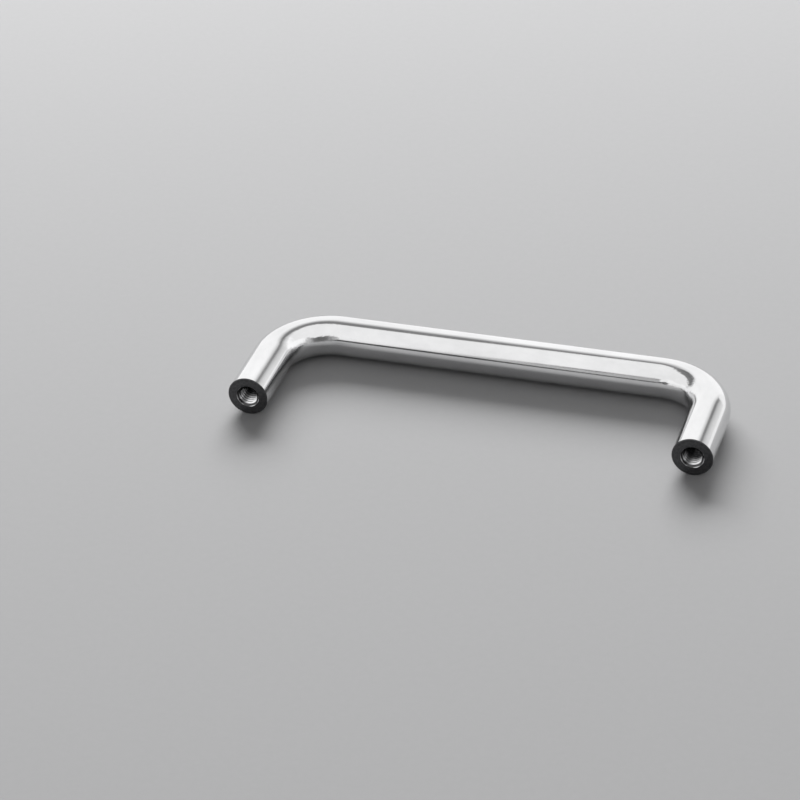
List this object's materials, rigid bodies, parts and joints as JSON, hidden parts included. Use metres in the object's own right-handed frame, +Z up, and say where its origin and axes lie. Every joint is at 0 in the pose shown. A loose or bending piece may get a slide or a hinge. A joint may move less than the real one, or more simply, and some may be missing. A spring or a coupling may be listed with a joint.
{
  "type": "bridge pull handle",
  "caption": "U-shaped pull handle bent from solid round bar, with a grip, tight round bends and a tapped, countersunk blind hole in each foot.",
  "frame": {"origin": "midway between the two tapped holes, in the plane of the foot faces", "axes": "+X along the grip from the left foot to the right one, +Y from the foot faces to the grip, +Z up, square to the plane of the U, so that the handle lies on the side of its bar"},
  "size_m": [0.096, 0.03, 0.008],
  "materials": {
    "polished_steel": "mirror polished stainless steel, with turned foot faces"
  },
  "bodies": {
    "root": {"handle": "polished_steel"}
  },
  "joints": []
}
